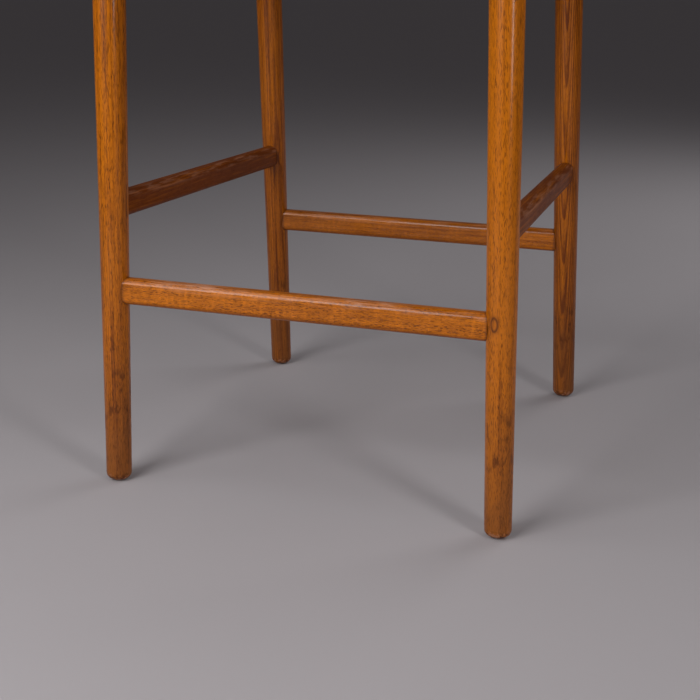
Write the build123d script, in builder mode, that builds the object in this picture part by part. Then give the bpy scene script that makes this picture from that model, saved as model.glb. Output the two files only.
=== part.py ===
from build123d import *
from collections import namedtuple
from math import cos, hypot, radians, tan
import os

# Bar stool with a footrest: four turned and tapered beech legs, four stretchers coped to them,
# a doweled seat frame with corner blocks, and a bolted-on upholstered seat.
# Millimetres. The floor is z = 0, +Z is up, the sitter faces -Y, and the origin is on the floor
# under the middle of the overall footprint.

os.makedirs("parts", exist_ok=True)

# ---------------------------------------------------------------- driving sizes

# Legs. Spacings are between leg axes at the floor. Angles are degrees from upright.
front_foot_spacing = 430.0
rear_foot_spacing = 412.0
foot_depth_spacing = 464.0
front_splay = 1.73          # front legs lean in towards each other going up
rear_splay = 1.53
front_rake = 0.28           # front legs lean forward going up
rear_rake = 7.85            # rear legs lean forward going up
frame_height = 700.0        # floor to the top of legs and seat rails
leg_foot_diameter = 27.8
leg_top_diameter = 34.6
foot_round = 8.0            # rounding of the sawn foot's edge
leg_top_chamfer = 1.0

# Nail-on glides under the feet.
glide_diameter = 10.5
glide_thickness = 1.2
glide_edge_round = 0.4
glide_nail_diameter = 2.0
glide_nail_length = 13.0

# Stretchers. Heights are of their centre lines.
low_stretcher_height = 218.5
side_stretcher_height = 308.5
low_stretcher_depth = 28.0
side_stretcher_depth = 27.0
stretcher_thickness = 18.0
stretcher_round = 6.5
tenon_diameter = 13.0
tenon_past_axis = 3.0       # how far a tenon runs past the leg's axis
tenon_chamfer = 1.2

# Seat rails.
rail_depth = 54.0
rail_thickness = 20.0
rail_round = 3.0
dowel_diameter = 8.0
dowel_into_leg = 13.0
dowel_into_rail = 21.0
dowel_chamfer = 0.8
dowel_pitch = 24.0          # between the two dowels of one joint
dowel_stagger = 12.0        # between the dowels of the two rails that meet in a leg

# Corner blocks, with their screws and the bolts that hold the seat.
block_depth = 26.0
block_top_gap = 3.0         # below the top of the rails
block_near = 14.0           # along a rail from the inner corner to the block's clipped corner
block_far = 70.0            # along a rail from the inner corner to the block's long face
block_chamfer = 1.0
screw_along = 52.0          # along a rail from the inner corner to the screw
screw_shank_diameter = 4.0
screw_head_diameter = 8.0
screw_head_height = 2.8
screw_slot_width = 1.1
screw_slot_depth = 1.2
screw_block_wood = 9.0      # wood left in the block under a screw's head
screw_into_rail = 13.0
bolt_along = 26.0           # along both rails from the inner corner to the bolt
bolt_diameter = 6.0
bolt_head_width = 10.0      # across the flats
bolt_head_height = 4.0
washer_diameter = 18.0
washer_thickness = 1.6
insert_diameter = 10.0
insert_length = 9.5

# Seat. Its outline follows the tops of the legs.
seat_overhang = 8.0
seat_corner_radius = 40.0
board_thickness = 12.0
foam_thickness = 36.0
foam_edge_round = 4.0
wadding_thickness = 4.0
cover_thickness = 1.6
cover_return = 50.0         # leather turned in under the board
return_corner_radius = 20.0
piping_diameter = 5.0

# Dust cover and its staples.
dust_cover_thickness = 0.8
dust_cover_rail_gap = 3.7
dust_cover_corner_radius = 16.0
staple_crown = 10.0
staple_wire = 0.7
staple_bite = 4.0           # into the seat board
staple_edge = 5.0           # from the dust cover's edge
staple_spacing = 34.0

# Clearances.
glue_gap = 0.1              # round a glued tenon or dowel, and in a coped shoulder
end_gap = 1.0               # past the end of a tenon, dowel, nail or screw in its hole
thread_gap = 0.05           # round a thread, a nail or a staple leg
bolt_hole_gap = 0.4         # round a bolt's plain shank and a screw's shank
rail_end_gap = 0.5          # between a side rail's end and the rail it runs up to
soft_gap = 0.3              # between curved upholstery layers

# ---------------------------------------------------------------- derived places

foot_radius = leg_foot_diameter / 2
top_radius = leg_top_diameter / 2
piping_radius = piping_diameter / 2
cover_edge_round = foam_edge_round + wadding_thickness + cover_thickness
# The piping lies in the corner that the rounded top edge leaves, clear of the leather.
piping_inset = cover_edge_round - (cover_edge_round + piping_radius + soft_gap) / 2**0.5
piping_proud = piping_radius - piping_inset

forward_reach = frame_height * tan(radians(front_rake)) + top_radius + seat_overhang + piping_proud
backward_reach = foot_radius / cos(radians(rear_rake))
overall_depth = forward_reach + foot_depth_spacing + backward_reach

Row = namedtuple("Row", "spacing foot_y splay rake inward")
rows = {
    "front": Row(front_foot_spacing, forward_reach - overall_depth / 2, front_splay, front_rake, 1),
    "rear": Row(rear_foot_spacing, overall_depth / 2 - backward_reach, rear_splay, rear_rake, -1),
}
sides = {"left": -1, "right": 1}

rail_height = frame_height - rail_depth / 2
board_base = frame_height + cover_thickness
foam_base = board_base + board_thickness
foam_top = foam_base + foam_thickness
wadding_top = foam_top + wadding_thickness
cover_top = wadding_top + cover_thickness
wadding_inset = cover_thickness + soft_gap
foam_inset = wadding_inset + wadding_thickness + soft_gap
block_base = frame_height - block_top_gap - block_depth
dust_cover_inset = top_radius + seat_overhang + rail_thickness / 2 + dust_cover_rail_gap
dust_cover_base = frame_height - dust_cover_thickness


def leg_axis(side, row, height):
    """The point on a leg's axis at a height above the floor."""
    r = rows[row]
    x = side * (r.spacing / 2 - height * tan(radians(r.splay)))
    return Vector(x, r.foot_y - height * tan(radians(r.rake)), height)


def leg_radius(height):
    """A leg's radius at a height above the floor."""
    return foot_radius + (top_radius - foot_radius) * height / frame_height


def finish(builder, name):
    """Labels a finished piece and writes its file."""
    builder.part.label = name
    export_step(builder.part, f"parts/{name}.step")


# ---------------------------------------------------------------- members between the legs

# A member runs level from one leg's axis to another's. Its bar starts setback from the axes.
Member = namedtuple("Member", "start end height depth thickness edge_round setback dowels")


def stretcher(start, end, height, depth):
    return Member(start, end, height, depth, stretcher_thickness, stretcher_round, 0, ())


def rail(start, end, lift, setback):
    """lift staggers the dowels, so that those of two neighbouring rails miss each other."""
    low = rail_height + lift - dowel_pitch / 2
    dowels = (low, low + dowel_pitch)
    return Member(start, end, rail_height, rail_depth, rail_thickness, rail_round, setback, dowels)


front_left, front_right = (-1, "front"), (1, "front")
rear_left, rear_right = (-1, "rear"), (1, "rear")

stretchers = {
    "front_footrest": stretcher(front_left, front_right, low_stretcher_height, low_stretcher_depth),
    "rear_stretcher": stretcher(rear_left, rear_right, low_stretcher_height, low_stretcher_depth),
    "left_stretcher": stretcher(front_left, rear_left, side_stretcher_height, side_stretcher_depth),
    "right_stretcher": stretcher(front_right, rear_right, side_stretcher_height, side_stretcher_depth),
}
# The side rails stop clear of the inner faces of the front and rear ones.
side_setback = rail_thickness / 2 + rail_end_gap
rails = {
    "front_seat_rail": rail(front_left, front_right, -dowel_stagger / 2, 0),
    "rear_seat_rail": rail(rear_left, rear_right, -dowel_stagger / 2, 0),
    "left_seat_rail": rail(front_left, rear_left, dowel_stagger / 2, side_setback),
    "right_seat_rail": rail(front_right, rear_right, dowel_stagger / 2, side_setback),
}


def ends(member):
    """For each end of a member: the leg, the point on the leg's axis, and the way into the member."""
    a = leg_axis(*member.start, member.height)
    b = leg_axis(*member.end, member.height)
    along = (b - a).normalized()
    return [(member.start, a, along), (member.end, b, along * -1)]


def tenon_plane(point, along, extra):
    """The plane of a tenon's end face, or with extra its mortise's floor, facing the member."""
    return Plane(origin=point - along * (tenon_past_axis + extra), z_dir=along)


def dowel_plane(point, along, height, extra):
    """The plane of a dowel's end inside the leg, or with extra its hole's floor."""
    start = leg_radius(height) - dowel_into_leg - extra
    return Plane(origin=Vector(point.X, point.Y, height) + along * start, z_dir=along)


def leg_blank(side, row, grow=0.0):
    """A leg before its ends are cut, as a plain cone, or a little larger to cope a member with."""
    spare = leg_foot_diameter
    start, end = leg_axis(side, row, -spare), leg_axis(side, row, frame_height + spare)
    with BuildPart(Plane(origin=start, z_dir=end - start)) as blank:
        Cone(
            bottom_radius=leg_radius(-spare) + grow,
            top_radius=leg_radius(frame_height + spare) + grow,
            height=(end - start).length,
            align=(Align.CENTER, Align.CENTER, Align.MIN),
        )
    return blank.part


blanks = {(side, row): leg_blank(side, row) for side in sides.values() for row in rows}
copes = {(side, row): leg_blank(side, row, glue_gap) for side in sides.values() for row in rows}

# ---------------------------------------------------------------- corner blocks

# Where two rails' inner faces meet: the corner, the ways along the cross rail and the side rail
# from it, and the ways out through those rails.
Corner = namedtuple("Corner", "point along_cross along_side out_cross out_side")


def corner(side, row):
    front = leg_axis(side, "front", rail_height)
    rear = leg_axis(side, "rear", rail_height)
    backward = (rear - front).normalized()
    out_side = Vector(side * backward.Y, -side * backward.X, 0)
    inward = rows[row].inward
    y = leg_axis(side, row, rail_height).Y + inward * rail_thickness / 2
    on_face = front - out_side * (rail_thickness / 2)
    point = on_face + backward * ((y - on_face.Y) / backward.Y)
    return Corner(
        Vector(point.X, y, 0),
        Vector(-side, 0, 0),
        backward * inward,
        Vector(0, -inward, 0),
        out_side,
    )


corners = {(row, name): corner(side, row) for row in rows for name, side in sides.items()}


def bolt_point(c, height):
    """Where a corner's seat bolt passes a height."""
    return c.point + (c.along_cross + c.along_side) * bolt_along + Vector(0, 0, height)


def screw_plane(c, along, out):
    """The plane that a corner screw's head bears on, facing into the rail."""
    lift = Vector(0, 0, block_base + block_depth / 2)
    return Plane(origin=c.point + along * screw_along - out * screw_block_wood + lift, z_dir=out)


def screw_planes(c):
    """A corner's two screws: the one into the cross rail, then the one into the side rail."""
    return [screw_plane(c, c.along_cross, c.out_cross), screw_plane(c, c.along_side, c.out_side)]


def rail_screw_planes(rail_name):
    """The screws that go into one rail."""
    planes = []
    for (row, name), c in corners.items():
        into_cross, into_side = screw_planes(c)
        if rail_name == f"{row}_seat_rail":
            planes.append(into_cross)
        if rail_name == f"{name}_seat_rail":
            planes.append(into_side)
    return planes


# ---------------------------------------------------------------- legs and glides


def leg(side, row):
    with BuildPart() as turned:
        add(blanks[side, row])
        split(bisect_by=Plane.XY.offset(glide_thickness), keep=Keep.TOP)
        split(bisect_by=Plane.XY.offset(frame_height), keep=Keep.BOTTOM)
        fillet(turned.edges().group_by(Axis.Z)[0], foot_round)
        chamfer(turned.edges().group_by(Axis.Z)[-1], leg_top_chamfer)
        # Mortises for the stretchers' tenons.
        for member in stretchers.values():
            for end_leg, point, along in ends(member):
                if end_leg == (side, row):
                    with BuildSketch(tenon_plane(point, along, end_gap)):
                        Circle(tenon_diameter / 2 + glue_gap)
                    extrude(amount=tenon_past_axis + leg_foot_diameter, mode=Mode.SUBTRACT)
        # Dowel holes for the seat rails.
        for member in rails.values():
            for end_leg, point, along in ends(member):
                if end_leg == (side, row):
                    for height in member.dowels:
                        with BuildSketch(dowel_plane(point, along, height, end_gap)):
                            Circle(dowel_diameter / 2 + glue_gap)
                        extrude(amount=dowel_into_leg * 2, mode=Mode.SUBTRACT)
        # The glide's nail hole.
        foot = leg_axis(side, row, glide_thickness)
        with BuildSketch(Plane(origin=foot)):
            Circle(glide_nail_diameter / 2 + thread_gap)
        extrude(amount=glide_nail_length + end_gap, mode=Mode.SUBTRACT)
    return turned


for row in rows:
    for name, side in sides.items():
        finish(leg(side, row), f"{row}_{name}_leg")

with BuildPart() as foot_glides:
    for side, row in blanks:
        foot = leg_axis(side, row, 0)
        with BuildSketch(Plane(origin=foot)):
            Circle(glide_diameter / 2)
        extrude(amount=glide_thickness)
    fillet(foot_glides.edges().group_by(Axis.Z)[0], glide_edge_round)
    for side, row in blanks:
        foot = leg_axis(side, row, glide_thickness)
        nail_root = Vector(foot.X, foot.Y, glide_thickness / 2)
        with BuildSketch(Plane(origin=nail_root)):
            Circle(glide_nail_diameter / 2)
        extrude(amount=glide_thickness / 2 + glide_nail_length)
finish(foot_glides, "foot_glides")

# ---------------------------------------------------------------- stretchers and rails


def coped_bar(member):
    """A rounded bar between two legs, its ends hollowed to fit round them."""
    (_, a, along), (_, b, _) = ends(member)
    across = Vector(0, 0, 1).cross(along)
    with BuildPart() as bar:
        with BuildSketch(Plane(origin=a + along * member.setback, x_dir=across, z_dir=along)):
            RectangleRounded(member.thickness, member.depth, member.edge_round)
        extrude(amount=(b - a).length - 2 * member.setback)
        add(copes[member.start], mode=Mode.SUBTRACT)
        add(copes[member.end], mode=Mode.SUBTRACT)
    return bar.part


def tenoned(member):
    with BuildPart() as piece:
        add(coped_bar(member))
        for _, point, along in ends(member):
            with BuildSketch(tenon_plane(point, along, 0)):
                Circle(tenon_diameter / 2)
            extrude(amount=tenon_past_axis + leg_foot_diameter)
            tips = piece.edges().filter_by(GeomType.CIRCLE).sort_by(Axis(point, along))
            chamfer(tips[0], tenon_chamfer)
    return piece


for name, member in stretchers.items():
    finish(tenoned(member), name)


def seat_rail(name, member):
    with BuildPart() as piece:
        add(coped_bar(member))
        for _, point, along in ends(member):
            for height in member.dowels:
                with BuildSketch(dowel_plane(point, along, height, 0)):
                    Circle(dowel_diameter / 2 + glue_gap)
                extrude(amount=dowel_into_leg + dowel_into_rail + end_gap, mode=Mode.SUBTRACT)
        # Pilot holes for the corner blocks' screws.
        for plane in rail_screw_planes(name):
            with BuildSketch(plane):
                Circle(screw_shank_diameter / 2 + thread_gap)
            extrude(amount=screw_block_wood + screw_into_rail + end_gap, mode=Mode.SUBTRACT)
    return piece


for name, member in rails.items():
    finish(seat_rail(name, member), name)

with BuildPart() as rail_dowels:
    for member in rails.values():
        for _, point, along in ends(member):
            for height in member.dowels:
                with BuildSketch(dowel_plane(point, along, height, 0)):
                    Circle(dowel_diameter / 2)
                extrude(amount=dowel_into_leg + dowel_into_rail)
    chamfer(rail_dowels.edges().filter_by(GeomType.CIRCLE), dowel_chamfer)
finish(rail_dowels, "rail_dowels")

# ---------------------------------------------------------------- corner blocks and fixings


def corner_block(c):
    outline = [
        c.point + c.along_cross * block_near,
        c.point + c.along_cross * block_far,
        c.point + c.along_side * block_far,
        c.point + c.along_side * block_near,
    ]
    with BuildPart() as block:
        with BuildSketch(Plane.XY.offset(block_base)):
            Polygon(*[(p.X, p.Y) for p in outline], align=None)
        extrude(amount=block_depth)
        chamfer(block.faces().sort_by(Axis.Z)[0].edges(), block_chamfer)
        with BuildSketch(Plane(origin=bolt_point(c, block_base))):
            Circle(bolt_diameter / 2 + bolt_hole_gap)
        extrude(amount=block_depth, mode=Mode.SUBTRACT)
        for plane in screw_planes(c):
            with BuildSketch(plane):
                Circle(screw_shank_diameter / 2 + bolt_hole_gap)
            extrude(amount=screw_block_wood, mode=Mode.SUBTRACT)
            with BuildSketch(plane):
                Circle(screw_head_diameter / 2 + bolt_hole_gap)
            extrude(amount=-block_far, mode=Mode.SUBTRACT)
    return block


for (row, name), c in corners.items():
    finish(corner_block(c), f"{row}_{name}_corner_block")

with BuildPart() as corner_block_screws:
    for c in corners.values():
        for plane in screw_planes(c):
            with BuildSketch(plane):
                Circle(screw_shank_diameter / 2)
            extrude(amount=screw_block_wood + screw_into_rail)
            with BuildSketch(plane):
                Circle(screw_head_diameter / 2)
            extrude(amount=-screw_head_height)
            with BuildSketch(plane.offset(-screw_head_height)):
                Rectangle(screw_head_diameter, screw_slot_width)
            extrude(amount=screw_slot_depth, mode=Mode.SUBTRACT)
finish(corner_block_screws, "corner_block_screws")

bolt_base = block_base - washer_thickness
bolt_length = board_base + insert_length - bolt_base

with BuildPart() as seat_bolts:
    for c in corners.values():
        with BuildSketch(Plane(origin=bolt_point(c, bolt_base))):
            Circle(bolt_diameter / 2)
        extrude(amount=bolt_length)
        with BuildSketch(Plane(origin=bolt_point(c, bolt_base - bolt_head_height))):
            RegularPolygon(bolt_head_width / 2, 6, major_radius=False)
        extrude(amount=bolt_head_height)
finish(seat_bolts, "seat_bolts")

with BuildPart() as seat_bolt_washers:
    for c in corners.values():
        with BuildSketch(Plane(origin=bolt_point(c, bolt_base))):
            Circle(washer_diameter / 2)
            Circle(bolt_diameter / 2 + bolt_hole_gap, mode=Mode.SUBTRACT)
        extrude(amount=washer_thickness)
finish(seat_bolt_washers, "seat_bolt_washers")

with BuildPart() as seat_insert_nuts:
    for c in corners.values():
        with BuildSketch(Plane(origin=bolt_point(c, board_base))):
            Circle(insert_diameter / 2)
            Circle(bolt_diameter / 2 + thread_gap, mode=Mode.SUBTRACT)
        extrude(amount=insert_length)
finish(seat_insert_nuts, "seat_insert_nuts")

# ---------------------------------------------------------------- seat

seat_front = leg_axis(1, "front", frame_height)
seat_rear = leg_axis(1, "rear", frame_height)
leg_to_edge = top_radius + seat_overhang
seat_front_y = seat_front.Y - leg_to_edge
seat_rear_y = seat_rear.Y + leg_to_edge
side_slope = (seat_rear.X - seat_front.X) / (seat_rear.Y - seat_front.Y)


def seat_half_width(y, inset):
    """Half the seat's width at y, pulled in by inset square to its slanting sides."""
    at_axis = seat_front.X + side_slope * (y - seat_front.Y)
    return at_axis + (leg_to_edge - inset) * hypot(1, side_slope)


def seat_corners(inset):
    """The sharp corners of the seat's outline, inset all round."""
    front, rear = seat_front_y + inset, seat_rear_y - inset
    half_front, half_rear = seat_half_width(front, inset), seat_half_width(rear, inset)
    return [(-half_front, front), (half_front, front), (half_rear, rear), (-half_rear, rear)]


def seat_plate(base, thickness, inset, corner_radius):
    """A level plate with the seat's outline, inset all round."""
    with BuildPart() as plate:
        with BuildSketch(Plane.XY.offset(base)) as plan:
            Polygon(*seat_corners(inset), align=None)
            fillet(plan.vertices(), corner_radius)
        extrude(amount=thickness)
    return plate.part


def padded_block(base, top, inset, edge_round):
    """A seat-shaped block with a rounded top edge."""
    with BuildPart() as block:
        add(seat_plate(base, top - base, inset, seat_corner_radius - inset))
        fillet(block.edges().group_by(Axis.Z)[-1], edge_round)
    return block.part


def staple_places():
    """Where the staples' crowns lie along the dust cover's four straight edges."""
    outline = seat_corners(dust_cover_inset + staple_edge)
    places = []
    for i, (x0, y0) in enumerate(outline):
        x1, y1 = outline[(i + 1) % 4]
        start, run = Vector(x0, y0), Vector(x1 - x0, y1 - y0)
        usable = run.length - 2 * (dust_cover_corner_radius + staple_crown)
        count = round(usable / staple_spacing) + 1
        heading = Vector(1, 0).get_signed_angle(run, Vector(0, 0, 1))
        for k in range(count):
            at = start + run * (0.5 + (k / (count - 1) - 0.5) * usable / run.length)
            places.append(Location((at.X, at.Y, dust_cover_base), (0, 0, heading)))
    return places


def staple_legs(grow, mode):
    """Both legs of every staple, or with grow the slots they make."""
    reach = dust_cover_thickness + cover_thickness + staple_bite
    leg_offset = (staple_crown - staple_wire) / 2
    with Locations(*staple_places()):
        with Locations((leg_offset, 0), (-leg_offset, 0)):
            Box(
                staple_wire + grow,
                staple_wire + grow,
                reach + grow,
                align=(Align.CENTER, Align.CENTER, Align.MIN),
                mode=mode,
            )


slot_grow = 2 * thread_gap

with BuildPart() as seat_board:
    add(seat_plate(board_base, board_thickness, foam_inset, seat_corner_radius - foam_inset))
    for c in corners.values():
        with BuildSketch(Plane(origin=bolt_point(c, board_base))):
            Circle(insert_diameter / 2 + thread_gap)
        extrude(amount=insert_length + end_gap, mode=Mode.SUBTRACT)
    staple_legs(slot_grow, Mode.SUBTRACT)
finish(seat_board, "seat_board")

with BuildPart() as seat_foam:
    add(padded_block(foam_base, foam_top, foam_inset, foam_edge_round))
finish(seat_foam, "seat_foam")

with BuildPart() as seat_wadding:
    add(padded_block(board_base, wadding_top, wadding_inset, foam_edge_round + wadding_thickness))
    hollow_inset = wadding_inset + wadding_thickness
    add(padded_block(board_base, foam_top, hollow_inset, foam_edge_round), mode=Mode.SUBTRACT)
finish(seat_wadding, "seat_wadding")

with BuildPart() as seat_cover:
    add(padded_block(frame_height, cover_top, 0, cover_edge_round))
    hollow_round = foam_edge_round + wadding_thickness
    add(padded_block(board_base, wadding_top, cover_thickness, hollow_round), mode=Mode.SUBTRACT)
    add(
        seat_plate(frame_height, cover_thickness, cover_return, return_corner_radius),
        mode=Mode.SUBTRACT,
    )
    # The bolts pass clear of the turned-in leather even where it reaches in as far as they do.
    for c in corners.values():
        with BuildSketch(Plane(origin=bolt_point(c, frame_height))):
            Circle(bolt_diameter / 2 + bolt_hole_gap)
        extrude(amount=cover_thickness, mode=Mode.SUBTRACT)
    staple_legs(slot_grow, Mode.SUBTRACT)
finish(seat_cover, "seat_cover")

with BuildPart() as seat_piping:
    with BuildLine(Plane.XY.offset(cover_top - piping_inset)) as seam:
        FilletPolyline(
            *seat_corners(piping_inset),
            radius=seat_corner_radius - piping_inset,
            close=True,
        )
    with BuildSketch(Plane(origin=seam.line @ 0, z_dir=seam.line % 0)):
        Circle(piping_radius)
    sweep()
finish(seat_piping, "seat_piping")

with BuildPart() as dust_cover:
    add(
        seat_plate(
            dust_cover_base, dust_cover_thickness, dust_cover_inset, dust_cover_corner_radius
        )
    )
    for c in corners.values():
        with BuildSketch(Plane(origin=bolt_point(c, dust_cover_base))):
            Circle(bolt_diameter / 2 + bolt_hole_gap)
        extrude(amount=dust_cover_thickness, mode=Mode.SUBTRACT)
    staple_legs(slot_grow, Mode.SUBTRACT)
finish(dust_cover, "dust_cover")

with BuildPart() as underside_staples:
    with Locations(*staple_places()):
        Box(staple_crown, staple_wire, staple_wire, align=(Align.CENTER, Align.CENTER, Align.MAX))
    staple_legs(0, Mode.ADD)
finish(underside_staples, "underside_staples")
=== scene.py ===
"""Bar stool with a footrest: stained beech frame, upholstered seat, and a small studio."""

import math
from collections import namedtuple

import bmesh
import bpy
from bpy.props import FloatProperty, FloatVectorProperty, IntProperty, PointerProperty
from mathutils import Matrix, Vector, geometry, noise


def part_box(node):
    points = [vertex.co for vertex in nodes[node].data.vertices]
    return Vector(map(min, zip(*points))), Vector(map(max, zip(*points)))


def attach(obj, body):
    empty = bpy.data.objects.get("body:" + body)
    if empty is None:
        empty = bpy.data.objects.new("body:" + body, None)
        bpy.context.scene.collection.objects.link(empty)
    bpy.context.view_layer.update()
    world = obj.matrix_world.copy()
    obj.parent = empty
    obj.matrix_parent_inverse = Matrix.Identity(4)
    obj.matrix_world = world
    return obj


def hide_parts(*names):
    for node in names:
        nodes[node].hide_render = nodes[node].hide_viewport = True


bl_info = {
    "name": "Bar Stool with Footrest",
    "version": (1, 0, 0),
    "blender": (4, 5, 0),
    "location": "View3D > Sidebar > Bar Stool",
    "description": "Finishes a bar stool's wooden frame, upholsters its seat and lights it",
    "category": "Object",
}

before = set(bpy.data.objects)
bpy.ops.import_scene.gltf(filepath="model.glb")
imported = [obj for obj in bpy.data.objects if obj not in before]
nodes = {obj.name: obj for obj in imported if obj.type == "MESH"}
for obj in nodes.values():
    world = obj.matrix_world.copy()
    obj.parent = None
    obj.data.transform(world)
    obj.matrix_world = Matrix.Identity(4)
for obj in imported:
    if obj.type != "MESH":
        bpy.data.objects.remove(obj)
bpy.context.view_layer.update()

MM = 0.001


# ---------------------------------------------------------------- settings


def length(name, description, default, low=0.0, high=1.0):
    return FloatProperty(
        name=name, description=description, default=default, min=low, max=high,
        subtype="DISTANCE", unit="LENGTH",
    )


def share(name, description, default):
    return FloatProperty(
        name=name, description=description, default=default, min=0.0, max=1.0, subtype="FACTOR"
    )


def colour(name, description, default):
    return FloatVectorProperty(
        name=name, description=description, default=default, size=3, min=0.0, max=1.0,
        subtype="COLOR",
    )


def power(name, description, default):
    return FloatProperty(
        name=name, description=description, default=default, min=0.0, unit="POWER"
    )


class StoolWood(bpy.types.PropertyGroup):
    """Colours and grain of the wooden pieces"""

    stain_light: colour("Light stain", "Stained wood between the streaks", (0.53, 0.146, 0.003))
    # The dark stain also paints the shade on the bars' lower roundings.
    stain_dark: colour("Dark stain", "Stained wood in the dark streaks", (0.150, 0.030, 0.001))
    # The fleck colour is also what the painted shade at the joints darkens towards.
    fleck: colour("Flecks", "The short dark flecks in the stained wood", (0.078, 0.016, 0.001))
    handled: colour("Handled wood", "Greyed, browner stain near the floor", (0.220, 0.072, 0.017))
    # The scuff colour also paints the highlight on the footrest's top edge.
    scuff: colour("Scuffs", "Worn lacquer on top of the footrest", (0.60, 0.30, 0.19))
    bare_light: colour("Light bare beech", "Beech with no stain", (0.62, 0.42, 0.25))
    bare_dark: colour("Dark bare beech", "Darker rings in bare beech", (0.47, 0.28, 0.15))
    ring_spacing: length("Ring spacing", "Width of one year's growth", 2.7 * MM, MM, 10 * MM)
    fleck_width: length("Fleck width", "Width of a fleck across the grain", 0.66 * MM)
    fleck_length: length("Fleck length", "Length of a fleck along the grain", 6.5 * MM)
    gloss: share("Lacquer roughness", "Roughness of the satin lacquer", 0.36)
    foot_height: length("Foot wear", "Height up to which the legs are worn and browner", 190 * MM)


class StoolSeat(bpy.types.PropertyGroup):
    """Shape and colours of the upholstered seat"""

    crown: length("Crown", "Rise of the seat's middle above its edge", 9 * MM)
    pull_in: length("Pull in", "How far the sides pull in between the corners", 3 * MM)
    side_bulge: length("Side bulge", "How far the boxing bulges at half height", 1.6 * MM)
    welt_radius: length("Welt radius", "Radius of the piping round the top", 2.5 * MM)
    leather_thickness: length("Leather thickness", "Thickness of the cover", 1.5 * MM)
    grain_size: length("Leather grain", "Size of one pebble of the grain", 1.5 * MM, 0.2 * MM)
    leather: colour("Leather", "The seat's leather", (0.014, 0.012, 0.011))
    leather_wear: colour("Worn leather", "Leather rubbed on the raised edges", (0.060, 0.045, 0.036))
    foam: colour("Foam", "The foam under the cover", (0.72, 0.61, 0.36))
    wadding: colour("Wadding", "The fibre over the foam", (0.78, 0.77, 0.73))
    cloth: colour("Dust cloth", "The cloth under the seat", (0.024, 0.024, 0.026))
    cloth_sag: length("Cloth sag", "How far the dust cloth hangs in the middle", 3 * MM)
    pressure: FloatProperty(
        name="Pressure", description="Air pressure that plumps the cover", default=4.0, min=0.0
    )
    settle_frames: IntProperty(
        name="Settling", description="Frames of cloth simulation", default=20, min=2, max=60
    )
    reach: length("Reach", "The furthest that the simulation may move a point", 4 * MM)


class StoolStudio(bpy.types.PropertyGroup):
    """Floor, lights and camera"""

    floor: colour("Floor", "The pale floor", (0.46, 0.43, 0.445))
    surround: colour("Surround", "Light from all round", (0.80, 0.765, 0.79))
    surround_strength: FloatProperty(
        name="Surround strength", description="Strength of the light from all round",
        default=0.10, min=0.0,
    )
    key_power: power("Key light", "The large light at the front left", 16.8)
    fill_power: power("Fill light", "The tall light at the right", 8.0)
    top_power: power("Top light", "The light overhead", 4.5)
    back_power: power("Back light", "The soft light behind, on the right", 14.0)
    lens: FloatProperty(
        name="Lens", description="Focal length of the camera", default=62.14, min=1.0,
        subtype="DISTANCE_CAMERA", unit="CAMERA",
    )


# ---------------------------------------------------------------- places taken from the frame

Bar = namedtuple("Bar", "start end turn")
LEG_NAMES = ("front_left", "front_right", "rear_left", "rear_right")
# The legs that the bars of each side join, and whether those bars run along X (0) or Y (1).
SIDES = {
    "front": ("front_left", "front_right", 0),
    "rear": ("rear_left", "rear_right", 0),
    "left": ("front_left", "rear_left", 1),
    "right": ("front_right", "rear_right", 1),
}
FOOTREST = "front_footrest"
STRETCHERS = {
    FOOTREST if side == "front" else f"{side}_stretcher": row for side, row in SIDES.items()
}
RAILS = {f"{side}_seat_rail": row for side, row in SIDES.items()}
# How much of a piece, at each of its ends, is taken to find that end's middle.
END_SLAB = 2 * MM


def middle(points):
    """The middle of the box round some points."""
    return Vector([(min(p[i] for p in points) + max(p[i] for p in points)) / 2 for i in range(3)])


def turned_to(along, side):
    """A frame whose Z runs along a piece and whose X is as near side as it can be."""
    up = along.cross(side).normalized()
    return Matrix((up.cross(along), up, along)).transposed()


def bar_of(node, axis):
    """A straight piece's centre line, from the two ends of its mesh."""
    points = [v.co for v in nodes[node].data.vertices]
    low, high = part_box(node)
    start = middle([p for p in points if p[axis] < low[axis] + END_SLAB])
    end = middle([p for p in points if p[axis] > high[axis] - END_SLAB])
    along = (end - start).normalized()
    side = Vector((1, 0, 0)) if axis == 2 else Vector((0, 0, 1)).cross(along)
    return Bar(start, end, turned_to(along, side))


def at_height(bar, height):
    """The point on a leg's centre line at a height."""
    return bar.start.lerp(bar.end, (height - bar.start.z) / (bar.end.z - bar.start.z))


def half_size(node, bar):
    """Half of a bar's width, square to its centre line, and half of its height."""
    across = bar.turn.col[0]
    low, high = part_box(node)
    width = max(abs((v.co - bar.start).dot(across)) for v in nodes[node].data.vertices)
    return width, (high.z - low.z) / 2


legs = {name: bar_of(f"{name}_leg", 2) for name in LEG_NAMES}
stretchers = {name: bar_of(name, row[2]) for name, row in STRETCHERS.items()}
rails = {name: bar_of(name, row[2]) for name, row in RAILS.items()}


def width_near(node, height):
    """The width along X of a node's mesh near a height."""
    xs = [v.co.x for v in nodes[node].data.vertices if abs(v.co.z - height) < 12 * MM]
    return max(xs) - min(xs)


FRAME_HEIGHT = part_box("front_left_leg")[1].z
LEG_TOP_RADIUS = width_near("front_left_leg", FRAME_HEIGHT) / 2
LEG_FOOT_RADIUS = width_near("front_left_leg", 14 * MM) / 2


def leg_radius(height):
    return LEG_FOOT_RADIUS + (LEG_TOP_RADIUS - LEG_FOOT_RADIUS) * height / FRAME_HEIGHT


def quarter_points(node):
    """The middle of what a node has in each quarter of the plan, as for one bolt per corner."""
    points = [v.co for v in nodes[node].data.vertices]
    quarters = [(sx, sy) for sx in (-1, 1) for sy in (-1, 1)]
    return [middle([p for p in points if p.x * sx > 0 and p.y * sy > 0]) for sx, sy in quarters]


# ---------------------------------------------------------------- shader maths


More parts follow.
